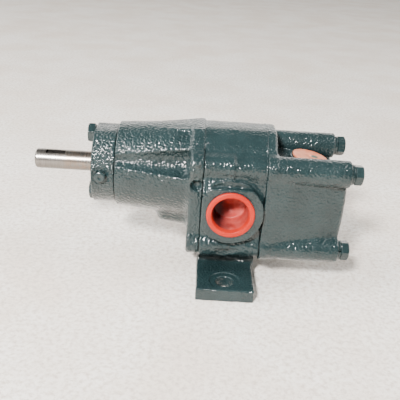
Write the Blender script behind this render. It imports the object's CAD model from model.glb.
"""Looks of the gear pump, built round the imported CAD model. Lengths are in millimetres until a mesh is made.
Heights (z) count from the drive shaft's axis, x runs along it and the origin's x and y are the ports' middle."""
import math

import bmesh
import bpy
import numpy as np
from mathutils import Matrix, Vector, noise


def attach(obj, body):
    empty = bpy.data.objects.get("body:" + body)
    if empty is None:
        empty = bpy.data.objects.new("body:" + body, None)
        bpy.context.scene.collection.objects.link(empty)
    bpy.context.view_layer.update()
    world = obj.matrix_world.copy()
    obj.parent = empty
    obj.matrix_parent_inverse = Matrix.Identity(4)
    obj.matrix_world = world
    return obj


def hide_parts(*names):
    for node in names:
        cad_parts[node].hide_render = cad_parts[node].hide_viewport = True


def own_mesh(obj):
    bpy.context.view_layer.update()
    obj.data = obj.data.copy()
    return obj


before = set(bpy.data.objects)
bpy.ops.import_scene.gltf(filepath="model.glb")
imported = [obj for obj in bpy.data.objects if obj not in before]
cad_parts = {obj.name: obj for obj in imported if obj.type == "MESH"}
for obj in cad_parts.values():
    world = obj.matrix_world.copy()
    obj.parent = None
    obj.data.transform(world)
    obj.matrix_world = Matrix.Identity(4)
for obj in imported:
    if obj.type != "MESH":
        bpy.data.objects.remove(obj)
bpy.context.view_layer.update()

MM = 0.001
SHAFT_Z = 85.7
DRIVEN_Z = -35.56
PORT_Z = -17.78
BOLTS = [(-32.7, 15.22), (32.7, 15.22), (-32.7, -50.78), (32.7, -50.78)]
CAP = (-109.2, -91.2)
BRACKET = (-90.7, -33.0, -22.7)
BODY = (-22.2, 25.3)
COVER = (25.8, 33.5, 89.0)
RELIEF_X, RELIEF_TOP, RELIEF_TILT = 63.5, 14.2, math.radians(9)
PORT_FACE = 47.0
SHAFT_EDGE = 0.22
CAST_RELIEF = 0.16
STEP = 0.7


# ---------------------------------------------------------------- distance fields: negative inside the metal

def fuse(a, b, r):
    """The union of two shapes with a cast fillet of radius r between them."""
    return np.maximum(r, np.minimum(a, b)) - np.hypot(np.maximum(r - a, 0), np.maximum(r - b, 0))


def trim(a, b, r):
    """What two shapes share, with the edge between them rounded to radius r."""
    return np.minimum(-r, np.maximum(a, b)) + np.hypot(np.maximum(r + a, 0), np.maximum(r + b, 0))


def carve(a, b, r):
    return trim(a, -b, r)


def between(v, low, high):
    return np.abs(v - (low + high) / 2) - (high - low) / 2


def rod(u, v, r, cu=0.0, cv=0.0):
    """An endless round bar, across the plane of u and v."""
    return np.hypot(u - cu, v - cv) - r


def along(t, low, high, at_low, at_high):
    """A size that changes evenly from one place to another."""
    return at_low + (at_high - at_low) * np.clip((t - low) / (high - low), 0, 1)


def case(y, z, r_top, r_low):
    """The outline round both gears."""
    return np.hypot(y, z - np.clip(z, DRIVEN_Z, 0)) - along(z, DRIVEN_Z, 0, r_low, r_top)


def holes(shape, y, z, r, edge=0.5):
    for by, bz in BOLTS:
        shape = carve(shape, rod(y, z, r, by, bz), edge)
    return shape


def front_cap(x, y, z):
    """The seal's cap, flat on top and tapped in its near side."""
    r = np.hypot(y, z)
    shape = trim(trim(r - 32, z - 30.8, 1.2), between(x, *CAP), 0.8)
    shape = carve(shape, r - 8.6, 0.6)
    shape = carve(shape, np.maximum(r - 12.8, x + 102), 0.6)
    shape = carve(shape, np.maximum(r - 15, -95 - x), 0.6)
    for side in (-1, 1):
        shape = carve(shape, rod(y, z, 5.2, 0, side * 24.5), 0.6)
    plug = rod(x, z, 6.6, -101.5, 1)
    shape = carve(shape, np.maximum(plug, y + 31.2), 0.9)
    return carve(shape, np.maximum(plug + 2.7, y + 22), 0.3)


def top_pad(x, y, z):
    """The flat pad that runs forward from the bracket's flange along its top."""
    top = z - along(x, -58, -22.7, 35.2, 38.3)
    half = along(x, -58, -22.7, 10, 15)
    flank = (np.abs(y) - half) * 0.8 + top * 0.6
    nose = (-58 - x) * 0.72 + top * 0.6
    shape = trim(trim(top, flank, 0.7), nose, 0.7)
    return np.maximum(shape, 20 - z)


def bearing_bracket(x, y, z):
    """The cone that holds the bearing, scooped on both sides, and its flange."""
    front, flange, rear = BRACKET
    r = np.hypot(y, z)
    cone = trim(r - along(x, front, flange, 34.2, 38), front - x, 0.8)
    for side in (-1, 1):
        hollow = rod(y, z, 0, side * 36.27, 16.88) - along(x, front, flange, 7.4, 11.6)
        cone = carve(cone, hollow, 1.0)
    idler = trim(rod(y, z, 0, 0, DRIVEN_Z) - along(x, -58, flange, 12.6, 15.2), -59 - x, 6)
    barrel = fuse(cone, idler, 6)
    plate = case(y, z, 39.9, 38.5)
    for by, bz in BOLTS:
        plate = fuse(plate, rod(y, z, 11 if bz > 0 else 9.2, by, bz), 5)
    plate = trim(plate, z - 38.35, 1.0)
    plate = trim(plate, between(x, flange, rear + 3), 2.6)
    shape = fuse(np.maximum(barrel, x - flange - 4), plate, along(z, 15, 30, 5, 1.2))
    shape = fuse(shape, top_pad(x, y, z), 0.8)
    shape = trim(shape, x - rear, 0.3)
    shape = carve(shape, np.maximum(r - 17.56, x + 82), 0.4)
    shape = carve(shape, np.maximum(r - 15.5, x + 48), 0.4)
    shape = carve(shape, r - 11, 0.4)
    shape = carve(shape, np.maximum(rod(y, z, 11, 0, DRIVEN_Z), -52 - x), 0.4)
    shape = holes(shape, y, z, 4.9)
    for side in (-1, 1):
        shape = carve(shape, np.maximum(rod(y, z, 4.9, 0, side * 24.5), x + 76), 0.4)
    knob = np.sqrt((x + 27.2) ** 2 + (y + 42) ** 2 + (z - 19.5) ** 2) - 2.6
    shape = fuse(shape, knob, 1.2)
    return carve(shape, np.sqrt((x + 27.2) ** 2 + (y + 40.6) ** 2 + (z - 1.5) ** 2) - 4.6, 1.2)


def pump_body(x, y, z):
    """The middle casting: its port bosses, the apron that slopes down to each boss, and its foot."""
    front, rear = BODY
    shape = trim(case(y, z, 39.2, 39.2), z - 38.4, 1.0)
    reach = np.abs(y)
    for by, bz in BOLTS:
        shape = fuse(shape, rod(y, z, 8.2 if bz > 0 else 9.2, by, bz), 4)
        ear = rod(y, z, 9.6 if bz > 0 else 10, by, bz)
        shape = fuse(shape, trim(ear, between(x, front - 9, 0.5), 0.8), 2)
    barrel = rod(x, z, 25.5, 0, PORT_Z)
    shape = fuse(shape, trim(barrel, reach - 42.5, 0.6), along(x, -2, 4, 1, 4))
    fall = along(z, -2, 14, 1, 0)
    apron = trim((reach - 40.1 - 6.8 * fall ** 1.25) * 0.9, x - 0.5, 0.6)
    apron = np.maximum(trim(apron, 0.2 - barrel, 0.5), z - 17)
    shape = fuse(shape, np.maximum(apron, -3 - z), 1.5)
    corner = (np.abs(x - 1.4) - 24 + (z - 2.6)) * 0.7071 + 3.9
    ledge = trim(trim(trim(barrel, z - 2.6, 0.6), corner, 1.5), reach - PORT_FACE, 0.8)
    shape = fuse(shape, ledge, 0.8)
    plate = trim(between(y, -64.3, 64.3), between(z, -120, -SHAFT_Z + 10.7), 1.2)
    plate = trim(plate, between(x, -23, 23), 1.2)
    web = trim(between(y, -20, 20), between(z, -90, -60), 1)
    outline = shape
    shape = fuse(np.maximum(fuse(shape, web, 3), between(x, front, rear)), plate, 3.2)
    shape = trim(shape, between(x, -23, rear), 0.3)
    shape = np.maximum(shape, np.where(z > -SHAFT_Z + 10.4, front - x, -9))
    for seam, start in ((front - 0.25, 28), (rear + 0.25, -5)):
        bead = np.maximum(np.hypot(outline + 0.2, x - seam) - 0.6, start - z)
        shape = np.minimum(shape, bead)
    shape = trim(shape, -SHAFT_Z - z, 0.8)
    for side in (-1, 1):
        bolt = np.maximum(rod(x, y, 7.15, 0, side * 50.2), z + SHAFT_Z - 30)
        spotface = np.maximum(bolt - 4.9, -z - SHAFT_Z + 9.8)
        shape = carve(carve(shape, spotface, 0.7), bolt, 0.6)
    shape = carve(shape, np.maximum(rod(x, z, 15.2, 0, PORT_Z), 8 - reach), 0.8)
    for gear_z in (0, DRIVEN_Z):
        shape = carve(shape, rod(y, z, 20.6, 0, gear_z), 0.4)
    return holes(shape, y, z, 5.2)


def rear_cover(x, y, z):
    """The relief valve's housing, with a trough between its two upper bolt ribs."""
    front, flange, rear = COVER
    plate = trim(case(y, z, 39.2, 39.2), z - 38.4, 1.0)
    for by, bz in BOLTS:
        plate = fuse(plate, rod(y, z, 10.5, by, bz), 3)
    plate = trim(plate, between(x, front - 6, flange), 2.8)
    half = along(x, flange, rear, 42.0, 32.4)
    bulge = 1.3 * np.clip(1 - ((z - PORT_Z) / 30) ** 2, 0, 1)
    core = trim(np.abs(y) - half, z - along(x, 47, rear, 12.8, 4), 2)
    core = trim(trim(core, -49.8 - z, 2), x - rear - bulge, 3.5)
    lean_x = (x - RELIEF_X) * math.cos(RELIEF_TILT) - (z - RELIEF_TOP) * math.sin(RELIEF_TILT)
    lean_z = (x - RELIEF_X) * math.sin(RELIEF_TILT) + (z - RELIEF_TOP) * math.cos(RELIEF_TILT)
    ring = trim(trim(rod(lean_x, y, 16.5), lean_z, 1), -14 - lean_z, 1)
    core = fuse(core, ring, 2.5)
    for by, bz in BOLTS:
        core = fuse(core, trim(rod(y, z, 10.5, by, bz), x - rear, 1.3), 1.2)
    shape = trim(fuse(core, plate, 2.5), front - x, 0.45)
    shape = holes(shape, y, z, 5.2)
    for gear_z in (0, DRIVEN_Z):
        shape = carve(shape, np.maximum(rod(y, z, 11, 0, gear_z), x - 46), 0.4)
    shape = carve(shape, np.maximum(rod(lean_x, y, 12.2), -10 - lean_z), 0.8)
    shape = carve(shape, np.maximum(rod(x, y, 10, RELIEF_X, 0), -5 - z), 0.4)
    return carve(shape, np.maximum(rod(x, y, 11.5, RELIEF_X, 0), between(z, -36, -4)), 0.4)


# ---------------------------------------------------------------- fields to meshes

def corner_slices(shape, d):
    return tuple(slice(o, n - 1 + o) for o, n in zip(d, shape))


def skin(field, low, high, step):
    """Vertices and quads of the surface where the field is zero: one vertex in each grid cell that it crosses."""
    axes = [np.arange(a - 1.5 * step, b + 2.5 * step, step) for a, b in zip(low, high)]
    shape = tuple(len(a) for a in axes)
    open_grid = [a.reshape([-1 if i == k else 1 for k in range(3)]) for i, a in enumerate(axes)]
    values = np.broadcast_to(field(*open_grid), shape)
    inside = values < 0
    corners = [(i, j, k) for i in (0, 1) for j in (0, 1) for k in (0, 1)]
    count = sum(inside[corner_slices(shape, d)].astype(np.int8) for d in corners)
    crossed = (count > 0) & (count < 8)
    cells = np.argwhere(crossed)
    number = np.full(crossed.shape, -1)
    number[crossed] = np.arange(len(cells))
    at = {d: values[tuple((cells + d).T)] for d in corners}
    total = np.zeros((len(cells), 3))
    hits = np.zeros(len(cells))
    for a in corners:
        for axis in range(3):
            if a[axis]:
                continue
            b = tuple(v + (i == axis) for i, v in enumerate(a))
            cross = (at[a] < 0) != (at[b] < 0)
            share = np.where(cross, at[a] / np.where(cross, at[a] - at[b], 1), 0)
            total[cross] += np.array(a)
            total[cross, axis] += share[cross]
            hits += cross
    points = (cells + total / hits[:, None]) * step + [a[0] for a in axes]
    quads = []
    for axis in range(3):
        u, v = (axis + 1) % 3, (axis + 2) % 3
        low_end = inside[tuple(slice(0, -1) if i == axis else slice(1, -1) for i in range(3))]
        high_end = inside[tuple(slice(1, None) if i == axis else slice(1, -1) for i in range(3))]
        edges = np.argwhere(low_end != high_end)
        outward = low_end[tuple(edges.T)]
        edges = edges + [0 if i == axis else 1 for i in range(3)]
        du, dv = np.eye(3, dtype=int)[u], np.eye(3, dtype=int)[v]
        quad = np.stack([number[tuple((edges - d).T)] for d in (0 * du, du, du + dv, dv)], 1)
        quads.append(np.where(outward[:, None], quad, quad[:, ::-1]))
    return points, np.concatenate(quads)


def slope(field, p):
    h = 0.04
    parts = []
    for i in range(3):
        d = np.zeros(3)
        d[i] = h
        parts.append(field(*(p + d).T) - field(*(p - d).T))
    return np.stack(parts, 1) / (2 * h)


def cast_relief(points, normals, amount):
    """Pushes each point in or out a little, as a sand mould's surface does."""
    push = [noise.noise(p * 0.16) * 1.0 + noise.noise(p * 0.37) * 0.45 for p in map(Vector, points)]
    return points + normals * (np.array(push) * amount)[:, None]


def mesh_object(name, points, faces):
    data = bpy.data.meshes.new(name)
    placed = np.asarray(points, float) + [0, 0, SHAFT_Z]
    data.from_pydata((placed * MM).tolist(), [], [list(map(int, f)) for f in faces])
    data.polygons.foreach_set("use_smooth", np.ones(len(data.polygons), bool))
    data.update()
    piece = bpy.data.objects.new(name, data)
    bpy.context.scene.collection.objects.link(piece)
    return piece


def casting(name, field, low, high, relief=0.0, step=STEP):
    """An object with the surface of a field, its points settled on the exact surface in three steps."""
    points, quads = skin(field, low, high, step)
    for _ in range(3):
        normals = slope(field, points)
        size = np.maximum((normals ** 2).sum(1), 0.2)
        move = np.clip(field(*points.T) / size, -0.4 * step, 0.4 * step)
        points = points - normals * move[:, None]
    if relief:
        normals = slope(field, points)
        normals /= np.maximum(np.linalg.norm(normals, axis=1), 1e-6)[:, None]
        points = cast_relief(points, normals, relief)
    return mesh_object(name, points, quads)


def turned(profile, axis, centre=(0, 0, 0), segments=96):
    """Points and faces of a body of revolution. profile is a closed loop of (radius, height along axis)."""
    profile = np.array(profile, float)
    angles = np.linspace(0, 2 * math.pi, segments, endpoint=False)
    ring = np.stack([np.cos(angles), np.sin(angles)], 1)
    points = np.zeros((len(profile), segments, 3))
    u, v = (axis + 1) % 3, (axis + 2) % 3
    points[:, :, u] = profile[:, :1] * ring[:, 0]
    points[:, :, v] = profile[:, :1] * ring[:, 1]
    points[:, :, axis] = profile[:, 1:]
    points = points.reshape(-1, 3) + centre
    faces = []
    for i in range(len(profile)):
        a, b = i * segments, ((i + 1) % len(profile)) * segments
        faces += [(a + j, b + j, b + (j + 1) % segments, a + (j + 1) % segments) for j in range(segments)]
    return points, faces


def turned_object(name, profile, axis, centre=(0, 0, 0), segments=96):
    piece = mesh_object(name, *turned(profile, axis, centre, segments))
    tidy_normals(piece)
    return piece


def tidy_normals(piece):
    bm = bmesh.new()
    bm.from_mesh(piece.data)
    bmesh.ops.recalc_face_normals(bm, faces=bm.faces)
    bm.to_mesh(piece.data)
    bm.free()


def round_edges(piece, radius):
    bevel = piece.modifiers.new("round", "BEVEL")
    bevel.width = radius * MM
    bevel.segments = 2
    bevel.limit_method = "ANGLE"
    bevel.angle_limit = math.radians(35)
    normals = piece.modifiers.new("normals", "WEIGHTED_NORMAL")
    normals.keep_sharp = True


def join_meshes(pieces):
    first = pieces[0]
    with bpy.context.temp_override(active_object=first, selected_editable_objects=pieces):
        bpy.ops.object.join()
    return first


# ---------------------------------------------------------------- materials

class Look:
    """A node material on object coordinates."""

    def __init__(self, name, colour, roughness, metallic=0.0, **sockets):
        self.material = bpy.data.materials.new(name)
        self.material.use_nodes = True
        self.tree = self.material.node_tree
        self.shader = self.tree.nodes["Principled BSDF"]
        self.shader.inputs["Base Color"].default_value = (*colour, 1)
        self.shader.inputs["Roughness"].default_value = roughness
        self.shader.inputs["Metallic"].default_value = metallic
        for socket, value in sockets.items():
            self.shader.inputs[socket.replace("_", " ")].default_value = value
        self.place = self.node("ShaderNodeTexCoord").outputs["Object"]
        self.bumped = None

    def node(self, kind, **values):
        made = self.tree.nodes.new(kind)
        for key, value in values.items():
            setattr(made, key, value)
        return made

    def link(self, a, b):
        self.tree.links.new(a, b)

    def stretched(self, x, y, z):
        mapping = self.node("ShaderNodeMapping")
        mapping.inputs["Scale"].default_value = (x, y, z)
        self.link(self.place, mapping.inputs["Vector"])
        return mapping.outputs["Vector"]

    def noise(self, scale, detail=2.0, rough=0.5, place=None):
        made = self.node("ShaderNodeTexNoise")
        made.inputs["Scale"].default_value = scale
        made.inputs["Detail"].default_value = detail
        made.inputs["Roughness"].default_value = rough
        self.link(place or self.place, made.inputs["Vector"])
        return made.outputs["Fac"]

    def ramp(self, value, *stops):
        """Each stop is (position, grey or colour)."""
        made = self.node("ShaderNodeValToRGB")
        elements = made.color_ramp.elements
        while len(elements) < len(stops):
            elements.new(0.5)
        for element, (at, colour) in zip(elements, stops):
            element.position = at
            colour = (colour,) * 3 if isinstance(colour, (int, float)) else colour
            element.color = (*colour, 1)
        self.link(value, made.inputs["Fac"])
        return made.outputs["Color"]

    def mix(self, share, a, b):
        """Colour a where share is 0 and b where it is 1. Each is a socket or a colour."""
        made = self.node("ShaderNodeMix", data_type="RGBA")
        self.link(share, made.inputs["Factor"])
        for value, socket in ((a, made.inputs[6]), (b, made.inputs[7])):
            if isinstance(value, tuple):
                socket.default_value = (*value, 1)
            else:
                self.link(value, socket)
        return made.outputs[2]

    def math(self, operation, a, b=0.0):
        made = self.node("ShaderNodeMath", operation=operation)
        for value, socket in ((a, made.inputs[0]), (b, made.inputs[1])):
            if isinstance(value, (int, float)):
                socket.default_value = value
            else:
                self.link(value, socket)
        return made.outputs[0]

    def square_sum(self, a, b):
        return self.math("ADD", self.math("MULTIPLY", a, a), self.math("MULTIPLY", b, b))

    def axis(self, name):
        split = self.node("ShaderNodeSeparateXYZ")
        self.link(self.place, split.inputs[0])
        return split.outputs[name]

    def band(self, value, low, high, soft):
        """1 between low and high, fading to 0 over soft on each side."""
        up = self.node("ShaderNodeMapRange")
        down = self.node("ShaderNodeMapRange")
        for made, start, end in ((up, low - soft, low), (down, high + soft, high)):
            self.link(value, made.inputs["Value"])
            made.inputs["From Min"].default_value = start
            made.inputs["From Max"].default_value = end
        return self.math("MULTIPLY", up.outputs[0], down.outputs[0])

    def colour(self, socket):
        self.link(socket, self.shader.inputs["Base Color"])

    def rough(self, value, low, high):
        made = self.node("ShaderNodeMapRange")
        self.link(value, made.inputs["Value"])
        made.inputs["To Min"].default_value = low
        made.inputs["To Max"].default_value = high
        self.link(made.outputs[0], self.shader.inputs["Roughness"])

    def bump(self, height, depth_mm, strength=1.0):
        """Relief of this depth. Each call adds to the ones before it."""
        made = self.node("ShaderNodeBump")
        made.inputs["Distance"].default_value = depth_mm * MM
        made.inputs["Strength"].default_value = strength
        self.link(height, made.inputs["Height"])
        if self.bumped:
            self.link(self.bumped, made.inputs["Normal"])
        self.bumped = made.outputs["Normal"]
        self.link(self.bumped, self.shader.inputs["Normal"])
        self.link(self.bumped, self.shader.inputs["Coat Normal"])


def paint_look(name, grain):
    """Thick glossy green enamel. grain is the depth of its orange peel."""
    look = Look(name, (0.018, 0.044, 0.046), 0.3, Coat_Weight=1.0, Coat_Roughness=0.035, Coat_IOR=1.44,
                Specular_IOR_Level=0.1)
    tone = look.ramp(look.noise(55, 4), (0.3, (0.007, 0.017, 0.0185)), (0.7, (0.013, 0.027, 0.029)))
    worn = look.ramp(look.noise(420, 3, 0.6), (0.62, 0.0), (0.8, 0.5))
    look.colour(look.mix(worn, tone, (0.021, 0.041, 0.043)))
    look.rough(look.noise(130, 3), 0.24, 0.42)
    look.bump(look.noise(160, 2), 0.3 * grain, 0.8)
    look.bump(look.noise(540, 1.1, 0.4), 1.05 * grain, 1.0)
    look.bump(look.noise(1100, 1), 0.1 * grain, 0.8)
    return look.material


def steel_look(name, colour, roughness, scratch=(2600, 40, 40)):
    """Machined steel. scratch is how fine its marks are along each axis."""
    look = Look(name, colour, roughness, 1.0)
    fine = look.noise(1, 4, 0.6, look.stretched(*scratch))
    look.rough(fine, roughness * 0.75, roughness * 1.35)
    dull = tuple(c * 0.62 for c in colour)
    look.colour(look.mix(look.ramp(look.noise(90, 4), (0.35, 0.0), (0.75, 0.8)), colour, dull))
    look.bump(fine, 0.02, 0.5)
    return look.material


def shaft_look():
    """Ground steel with fine rings, brown stains near the cap and a dull keyway."""
    look = Look("ground_shaft_steel", (0.45, 0.43, 0.41), 0.27, 1.0)
    rings = look.noise(1, 3, 0.65, look.stretched(3200, 25, 25))
    look.rough(rings, 0.2, 0.4)
    near_cap = look.band(look.axis("X"), -0.131, -0.09, 0.012)
    blotch = look.ramp(look.noise(330, 4, 0.6), (0.4, 0.0), (0.62, 1.0))
    stain = look.math("MULTIPLY", look.math("MULTIPLY", near_cap, blotch), 0.75)
    toned = look.mix(look.ramp(rings, (0.35, 0.0), (0.7, 1.0)), (0.165, 0.154, 0.141), (0.28, 0.265, 0.25))
    toned = look.mix(stain, toned, (0.25, 0.19, 0.15))
    lift = look.math("SUBTRACT", look.axis("Z"), SHAFT_Z * MM)
    away = look.square_sum(lift, look.axis("Y"))
    keyway = look.math("MULTIPLY", look.band(look.axis("X"), -0.157, -0.13, 0.0005),
                       look.band(away, -1.0, 0.0074 ** 2, 0.000001))
    look.colour(look.mix(keyway, toned, (0.05, 0.047, 0.045)))
    look.bump(rings, 0.018, 0.6)
    return look.material


def plastic_look():
    """Thin orange plastic: the dark port shows through the wall of the cup on one side."""
    look = Look("orange_plastic", (0.55, 0.04, 0.02), 0.5, Specular_IOR_Level=0.2)
    base = look.ramp(look.noise(70, 3), (0.3, (0.34, 0.011, 0.004)), (0.75, (0.44, 0.022, 0.01)))
    inside = look.band(look.math("ABSOLUTE", look.axis("Y")), -1.0, 0.0448, 0.0012)
    wavy = look.math("ADD", look.axis("X"), look.math("MULTIPLY", look.noise(120, 2), 0.014))
    dark_side = look.band(wavy, -1.0, 0.0005, 0.009)
    mottled = look.ramp(look.noise(150, 3), (0.35, 0.0), (0.7, 1.0))
    deep = look.mix(mottled, (0.33, 0.03, 0.024), (0.46, 0.085, 0.07))
    toned = look.mix(look.math("MULTIPLY", inside, 0.9), base, deep)
    shade = look.math("MULTIPLY", look.math("MULTIPLY", inside, dark_side), 0.93)
    look.colour(look.mix(shade, toned, (0.03, 0.012, 0.014)))
    look.rough(look.noise(180, 3), 0.28, 0.5)
    look.bump(look.noise(240, 3), 0.1, 0.6)
    return look.material


def relief_plug_look():
    """The same plastic, with dull scuffs and a little of the casting's paint in its middle."""
    look = Look("scuffed_orange_plastic", (0.8, 0.2, 0.1), 0.5)
    base = look.ramp(look.noise(110, 4, 0.6), (0.35, (0.5, 0.13, 0.06)), (0.65, (0.58, 0.24, 0.14)))
    dx = look.math("SUBTRACT", look.axis("X"), 0.0672)
    away = look.math("SQRT", look.square_sum(dx, look.axis("Y")))
    near = look.band(away, -1.0, 0.0022, 0.0012)
    look.colour(look.mix(near, base, (0.03, 0.085, 0.07)))
    look.rough(look.noise(200, 3), 0.35, 0.6)
    look.bump(look.noise(260, 3), 0.12, 0.7)
    return look.material


def gasket_look():
    """Gasket edges: enamel has run into them near the top, and they are bare and dark lower down."""
    look = Look("gasket_edge", (0.01, 0.014, 0.014), 0.7)
    high = look.band(look.axis("Z"), 0.104, 9.0, 0.012)
    patchy = look.math("MULTIPLY", high, look.ramp(look.noise(160, 3), (0.3, 0.5), (0.6, 1.0)))
    look.colour(look.mix(patchy, (0.006, 0.009, 0.009), (0.03, 0.055, 0.056)))
    look.rough(look.noise(300, 3), 0.4, 0.8)
    look.bump(look.noise(700, 2), 0.1, 0.6)
    return look.material


def plain_look(name, colour, roughness, grain_scale, depth, metallic=0.0, spread=0.25):
    look = Look(name, colour, roughness, metallic)
    dark = tuple(c * (1 - spread) for c in colour)
    light = tuple(min(1.0, c * (1 + spread)) for c in colour)
    look.colour(look.ramp(look.noise(grain_scale, 4), (0.3, dark), (0.7, light)))
    look.rough(look.noise(grain_scale * 1.7, 3), roughness * 0.8, min(1.0, roughness * 1.2))
    look.bump(look.noise(grain_scale * 3, 2), depth, 0.6)
    return look.material


fastener_paint = paint_look("green_enamel_on_steel", 0.35)
shaft_steel = shaft_look()
gear_steel = steel_look("gear_steel", (0.5, 0.5, 0.5), 0.3, (60, 900, 900))
spring_steel = steel_look("spring_steel", (0.36, 0.36, 0.38), 0.32, (300, 300, 300))
pin_steel = steel_look("bright_steel", (0.55, 0.54, 0.53), 0.28)
bronze = plain_look("sintered_bronze", (0.52, 0.33, 0.13), 0.42, 500, 0.04, 1.0)
rubber = plain_look("black_seal_rubber", (0.018, 0.018, 0.019), 0.6, 300, 0.05)
carbon = plain_look("seal_carbon", (0.03, 0.03, 0.032), 0.4, 600, 0.01)
ceramic = plain_look("seal_ceramic", (0.75, 0.72, 0.66), 0.25, 200, 0.004, spread=0.05)
gasket = gasket_look()
orange = plastic_look()
relief_orange = relief_plug_look()


# ---------------------------------------------------------------- pieces

def dress(piece, material, body, node):
    piece.data.materials.clear()
    piece.data.materials.append(material)
    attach(piece, body)
    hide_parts(node)
    return piece


def cast_pieces():
    plan = [
        ("front_cap", front_cap, 1.2, (CAP[0], -32.5, -32.5), (CAP[1], 32.5, 31.5)),
        ("bearing_bracket", bearing_bracket, 0.9, (BRACKET[0], -44.5, -75), (BRACKET[2], 44.5, 39)),
        ("pump_body", pump_body, 0.65, (-23.2, -64.5, -SHAFT_Z), (BODY[1] + 1, 64.5, 39)),
        ("rear_cover", rear_cover, 0.75, (COVER[0], -44, -76), (COVER[2] + 1.5, 44, 39)),
    ]
    for node, field, grain, low, high in plan:
        piece = casting(node + "_casting", field, low, high, relief=CAST_RELIEF)
        dress(piece, paint_look("green_enamel_on_" + node, grain), "housing", node)


def hexagon(y, z, across_flats, turn):
    distances = [
        np.abs(y * math.cos(turn + k * math.pi / 3) + z * math.sin(turn + k * math.pi / 3)) for k in range(3)
    ]
    return np.maximum(np.maximum(*distances[:2]), distances[2]) - across_flats / 2


def bolt_piece(node, y, z, seat, way, height, length, turn):
    """A hexagon head standing on its seat, way +1 or -1 along x, with a threaded shank behind it."""
    def head(px, py, pz):
        up = (px - seat) * way
        dy, dz = py - y, pz - z
        r = np.hypot(dy, dz)
        shape = trim(hexagon(dy, dz, 14.3, turn), between(up, 0.45, height), 0.5)
        shape = trim(shape, (r - 6.9) * 0.5 + (up - height) * 0.866, 0.4)
        collar = trim(r - 6.7, between(up, 0, 2), 0.2)
        return np.minimum(shape, collar)

    ends = sorted((seat - 0.2 * way, seat + (height + 0.2) * way))
    low, high = (ends[0], y - 8.5, z - 8.5), (ends[1], y + 8.5, z + 8.5)
    top = casting(node + "_head", head, low, high, step=0.42)
    pitch = 1.5875
    profile = [(0.01, seat + way), (4.55, seat + way)]
    thread_start = length - 22
    profile.append((4.55, seat - way * thread_start))
    at = thread_start
    while at < length - pitch:
        profile += [(3.95, seat - way * (at + pitch * 0.5)), (4.6, seat - way * (at + pitch))]
        at += pitch
    profile += [(3.6, seat - way * length), (0.01, seat - way * length)]
    shank = mesh_object(node + "_shank", *turned(profile, 0, (0, y, z), 24))
    tidy_normals(shank)
    whole = join_meshes([top, shank])
    whole.name = node + "_painted"
    dress(whole, fastener_paint, "housing", node)


def fasteners():
    for i, (y, z) in enumerate(BOLTS):
        node = f"cover_bolt_{i + 1}"
        bolt_piece(node, y, z, 91.5, 1, 6.9, 122.5, 0.35 + 0.5 * i)
        washer = f"cover_bolt_washer_{i + 1}"

        def ring(px, py, pz, y=y, z=z, turn=0.6 + 1.1 * i):
            dy, dz = py - y, pz - z
            r = np.hypot(dy, dz)
            body = trim(trim(r - 8, between(px, 89.1, 91.4), 0.35), 5 - r, 0.35)
            side = dy * math.cos(turn) + dz * math.sin(turn)
            across = -dy * math.sin(turn) + dz * math.cos(turn) + (px - 90.2) * 0.5
            return np.maximum(body, -np.maximum(np.abs(across) - 0.7, -side))

        low, high = (89, y - 8.2, z - 8.2), (91.5, y + 8.2, z + 8.2)
        made = casting(washer + "_painted", ring, low, high, step=0.36)
        dress(made, fastener_paint, "housing", washer)
    for name, side, turn in (("cap_bolt_upper", 1, 0.1), ("cap_bolt_lower", -1, 0.6)):
        bolt_piece(name, 0, side * 24.5, CAP[0] - 0.1, -1, 6.2, 30, turn)


def side_plug():
    """The small round-headed pipe plug in the cap's side."""
    profile = [(0.01, -23), (3.7, -23)]
    for k in range(6):
        profile += [(3.78, -24.2 - k), (3.5, -24.7 - k)]
    profile += [(3.7, -30.4), (4.15, -31), (4.2, -34.5), (3.9, -35.1), (3.2, -35.4), (0.01, -35.4)]
    piece = turned_object("cap_side_plug_painted", profile, 1, (-101.5, 0, 1), 48)
    dress(piece, fastener_paint, "housing", "cap_side_plug")


def shaft_profile(start, end):
    return [(0.01, start), (6.6, start), (6.95, start + 0.12), (7.75, start + 0.92), (7.9375, start + 1.3),
            (7.9375, end - 0.8), (7.3, end), (0.01, end)]


def cut_box(piece, low, high, turn=0.0):
    """Cuts a box from a piece. turn leans the box about the x axis."""
    bm = bmesh.new()
    bmesh.ops.create_cube(bm, size=1)
    centre = [(a + b) / 2 for a, b in zip(low, high)]
    size = [b - a for a, b in zip(low, high)]
    bmesh.ops.scale(bm, vec=size, verts=bm.verts)
    bmesh.ops.translate(bm, vec=centre, verts=bm.verts)
    bmesh.ops.rotate(bm, matrix=Matrix.Rotation(turn, 3, "X"), verts=bm.verts)
    data = bpy.data.meshes.new("cutter")
    bm.to_mesh(data)
    bm.free()
    data.transform(Matrix.Translation((0, 0, SHAFT_Z * MM)) @ Matrix.Scale(MM, 4))
    cutter = bpy.data.objects.new("cutter", data)
    bpy.context.scene.collection.objects.link(cutter)
    cut = piece.modifiers.new("cut", "BOOLEAN")
    cut.object = cutter
    cut.solver = "EXACT"
    with bpy.context.temp_override(object=piece, active_object=piece):
        bpy.ops.object.modifier_apply(modifier=cut.name)
    bpy.data.objects.remove(cutter)


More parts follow.
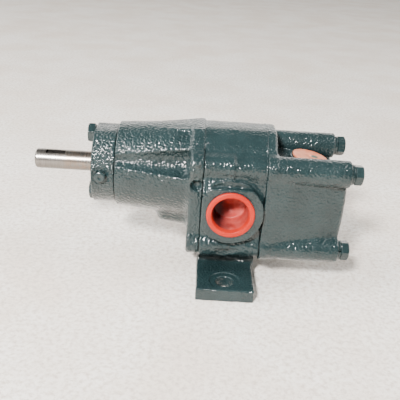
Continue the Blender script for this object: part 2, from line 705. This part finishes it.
def shafts():
    drive = mesh_object("drive_shaft_ground", *turned(shaft_profile(-158.5, 44), 0, segments=128))
    tidy_normals(drive)
    cut_box(drive, (-150.1, -2.38, 5.45), (-134.5, 2.38, 12), math.radians(17))
    cut_box(drive, (-9, -2.38, 5.56), (12, 2.38, 12))
    round_edges(drive, SHAFT_EDGE)
    dress(drive, shaft_steel, "drive_train", "drive_shaft")
    bar = turned(shaft_profile(-50.5, 44), 0, (0, 0, DRIVEN_Z))
    driven = mesh_object("driven_shaft_ground", *bar)
    tidy_normals(driven)
    cut_box(driven, (-9, -2.38, 5.56 + DRIVEN_Z), (12, 2.38, 12 + DRIVEN_Z))
    round_edges(driven, SHAFT_EDGE)
    dress(driven, shaft_steel, "driven_train", "driven_shaft")


def cup_profile():
    """A port plug's section, radius and depth behind the boss's face, from the cup's middle out and back."""
    inner = [(0.01, 19.6), (11.9, 19.6), (12.6, 19.2), (12.95, 18.4)]
    depth = 17.6
    while depth > 1.2:
        inner += [(13.05 + (17.6 - depth) * 0.055, depth), (12.8 + (17.6 - depth) * 0.055, depth - 0.9)]
        depth -= 2.4
    lip = [(14.3, 0.6), (14.6, -2.0), (14.8, -2.4), (15.2, -2.6), (17.8, -2.6), (18.3, -2.4), (18.5, -1.9),
           (18.6, -0.8), (18.4, -0.25), (17.9, -0.1), (15.2, -0.1), (14.95, 0.4)]
    outer = [(14.35, 20.3), (13.9, 20.9), (13.2, 21.0), (0.01, 21.0)]
    return inner + lip + outer


def port_plugs():
    plan = (("suction_port_plug", -1, "suction_plug"), ("discharge_port_plug", 1, "discharge_plug"))
    for name, side, body in plan:
        profile = [(r, side * (PORT_FACE - depth)) for r, depth in cup_profile()]
        piece = turned_object(name + "_moulded", profile, 1, (0, 0, PORT_Z), 128)
        dress(piece, orange, body, name)


def relief_plug():
    profile = [
        (0.01, 1.2), (1.7, 1.2), (1.9, 1.5), (2.0, 2.2), (2.4, 2.4), (13.6, 2.4), (14.2, 2.2),
        (14.5, 1.7), (14.5, 0.7), (14.2, 0.2), (13.7, 0.1), (11.9, 0.1), (10.7, -5.2), (10.3, -5.5),
        (9.3, -5.5), (9.0, -5.0), (9.0, -0.6), (8.6, -0.4), (0.01, -0.4),
    ]
    piece = turned_object("relief_port_plug_moulded", profile, 2, segments=96)
    seat = Matrix.Translation((RELIEF_X * MM, 0, (SHAFT_Z + RELIEF_TOP) * MM))
    place = seat @ Matrix.Rotation(RELIEF_TILT, 4, "Y")
    piece.data.transform(place @ Matrix.Translation((0, 0, -SHAFT_Z * MM)))
    dress(piece, relief_orange, "relief_plug", "relief_port_plug")


def relief_spring():
    """The relief valve's spring, pressed towards its upper end as the poppet lifts."""
    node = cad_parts["relief_valve_spring"]
    wire = bpy.data.objects.new("relief_valve_spring_wire", node.data.copy())
    wire.matrix_world = node.matrix_world
    bpy.context.scene.collection.objects.link(wire)
    dress(wire, spring_steel, "housing", "relief_valve_spring")
    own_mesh(wire)


def carried_over():
    """The CAD nodes that keep their shape get their finish here."""
    finishes = {
        gasket: ["cap_gasket", "front_body_gasket", "rear_body_gasket"],
        pin_steel: ["front_dowel_1", "front_dowel_2", "rear_dowel_1", "rear_dowel_2", "drive_gear_key",
                    "driven_gear_key", "seal_collar", "relief_valve_seat", "relief_valve_poppet",
                    "relief_adjusting_screw", "relief_lock_ring"],
        gear_steel: ["drive_gear", "driven_gear", "bearing_outer_race", "bearing_inner_race"],
        spring_steel: ["bearing_balls_and_cage", "shaft_snap_ring", "seal_spring"],
        bronze: ["drive_bush_front", "drive_bush_rear", "driven_bush_front", "driven_bush_rear"],
        rubber: ["cap_oil_seal", "seal_seat_cup"],
        ceramic: ["seal_seat"],
        carbon: ["seal_face"],
    }
    for material, names in finishes.items():
        for name in names:
            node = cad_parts[name]
            node.data.materials.clear()
            node.data.materials.append(material)


# ---------------------------------------------------------------- floor, light and camera

def floor():
    bm = bmesh.new()
    bmesh.ops.create_grid(bm, x_segments=8, y_segments=8, size=9)
    data = bpy.data.meshes.new("floor")
    bm.to_mesh(data)
    bm.free()
    sheet = bpy.data.objects.new("floor", data)
    bpy.context.scene.collection.objects.link(sheet)
    look = Look("pale_floor", (0.8, 0.78, 0.75), 0.6)
    fine = look.noise(260, 4, 0.75)
    broad = look.noise(9, 4, 0.6)
    light = look.ramp(broad, (0.38, (0.78, 0.7, 0.62)), (0.6, (0.88, 0.845, 0.795)))
    look.colour(look.mix(look.ramp(fine, (0.44, 0.0), (0.66, 1.0)), light, (0.56, 0.48, 0.41)))
    look.bump(fine, 0.15, 0.5)
    data.materials.append(look.material)


def area_light(name, place, target, size, power, colour=(1, 1, 1)):
    data = bpy.data.lights.new(name, "AREA")
    data.shape = "RECTANGLE"
    data.size, data.size_y = size
    data.energy = power
    data.color = colour
    lamp = bpy.data.objects.new(name, data)
    lamp.location = place
    lamp.rotation_euler = (Vector(target) - Vector(place)).to_track_quat("-Z", "Y").to_euler()
    bpy.context.scene.collection.objects.link(lamp)


def lights():
    """A dim room, bright low down behind the pump, with a soft box past each end and a lamp near the camera."""
    world = bpy.data.worlds.new("soft_room")
    world.use_nodes = True
    nodes, links = world.node_tree.nodes, world.node_tree.links
    way = nodes.new("ShaderNodeTexCoord")
    lean = nodes.new("ShaderNodeVectorMath")
    lean.operation = "DOT_PRODUCT"
    lean.inputs[1].default_value = (0, 1.0, -0.85)
    spread = nodes.new("ShaderNodeMapRange")
    spread.inputs["From Min"].default_value = -0.05
    spread.inputs["From Max"].default_value = 0.6
    spread.inputs["To Min"].default_value = 0.2
    spread.inputs["To Max"].default_value = 2.2
    links.new(way.outputs["Generated"], lean.inputs[0])
    links.new(lean.outputs["Value"], spread.inputs["Value"])
    background = nodes["Background"]
    background.inputs["Color"].default_value = (1.0, 0.98, 0.94, 1)
    links.new(spread.outputs[0], background.inputs["Strength"])
    bpy.context.scene.world = world
    middle = (-0.02, 0, 0.06)
    area_light("left_box", (-1.9, -0.1, 1.7), middle, (1.7, 1.7), 85, (1, 0.985, 0.96))
    area_light("right_box", (1.9, -0.1, 1.7), middle, (1.7, 1.7), 50, (1, 0.985, 0.96))
    area_light("lamp", (-0.5, -1.15, 1.04), middle, (0.2, 0.2), 80, (1, 0.985, 0.96))


def camera():
    data = bpy.data.cameras.new("camera")
    data.sensor_width = 36
    data.lens = 51.85
    view = bpy.data.objects.new("camera", data)
    elevation, azimuth, roll = math.radians(25.30), math.radians(-1.06), math.radians(3.97)
    level = Vector((-math.sin(azimuth), math.cos(azimuth), 0))
    forward = level * math.cos(elevation) - Vector((0, 0, math.sin(elevation)))
    right = forward.cross(Vector((0, 0, 1))).normalized()
    up = right.cross(forward)
    turned_right = math.cos(roll) * right + math.sin(roll) * up
    turned_up = -math.sin(roll) * right + math.cos(roll) * up
    axes = Matrix((turned_right, turned_up, -forward)).transposed()
    target = Vector((-23.05, 0, SHAFT_Z - 29.2)) * MM
    view.matrix_world = Matrix.Translation(target - forward * 485.75 * MM) @ axes.to_4x4()
    bpy.context.scene.collection.objects.link(view)
    bpy.context.scene.camera = view


cast_pieces()
fasteners()
side_plug()
shafts()
port_plugs()
relief_plug()
relief_spring()
carried_over()
floor()
lights()
camera()
